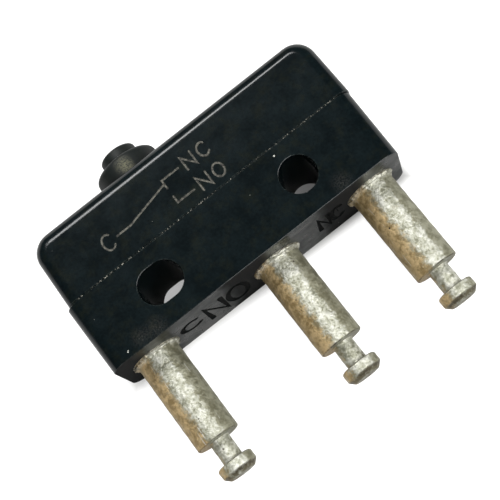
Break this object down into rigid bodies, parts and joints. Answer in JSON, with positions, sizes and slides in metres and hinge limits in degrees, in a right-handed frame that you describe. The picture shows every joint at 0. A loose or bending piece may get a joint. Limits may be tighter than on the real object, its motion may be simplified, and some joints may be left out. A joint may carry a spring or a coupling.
{
  "type": "micro switch",
  "caption": "Slim moulded snap-action switch with a domed pin plunger, turned solder posts and cross mounting holes; pressing the pin snaps the inner contact over.",
  "frame": {"origin": "on the back face, midway between the axes of the two mounting holes", "axes": "+X along the case towards the normally closed terminal, +Y towards the plunger, +Z out of the front face; the switch lies on its back face"},
  "size_m": [0.0203, 0.0195, 0.0063],
  "materials": {
    "case_moulding": "moulded thermoset, satin to gloss, near black with a blue-green tint",
    "plunger_moulding": "moulded thermoset, dark grey-green, worn on its crown",
    "tinned_brass": "turned brass, dull tin plating with yellow-brown tarnish",
    "bracket_brass": "stamped and folded, bright",
    "spring_copper": "heat-treated beryllium copper strip",
    "contact_silver": "silver, satin",
    "rivet_steel": "plated steel"
  },
  "bodies": {
    "case": {"base_housing": "case_moulding", "cover_housing": "case_moulding", "common_terminal": "tinned_brass", "normally_open_terminal": "tinned_brass", "normally_closed_terminal": "tinned_brass", "anchor_bracket": "bracket_brass", "spring_clamp_plate": "rivet_steel", "spring_rivet": "rivet_steel", "open_bracket": "bracket_brass", "open_contact": "contact_silver", "closed_bracket": "bracket_brass", "closed_contact": "contact_silver"},
    "pin_plunger": {"plunger": "plunger_moulding"},
    "contact_blade": {"snap_spring": "spring_copper", "moving_contact": "contact_silver"}
  },
  "joints": [
    {"name": "plunger_slide", "type": "slide", "parent": "case", "child": "pin_plunger", "axis": [0, -1, 0], "range_m": [0, 0.0006], "stiffness_N_per_m": 2000, "springref_m": -0.0001},
    {"name": "blade_rock", "type": "hinge", "parent": "case", "child": "contact_blade", "pos_m": [-0.00652, 0.0034, 0.00317], "axis": [0, 0, -1], "range_deg": [0, 2.1], "deforming": ["snap_spring"]}
  ],
  "couplings": [
    {"joint": "blade_rock", "follows": "plunger_slide", "rad_per_m": 61}
  ]
}
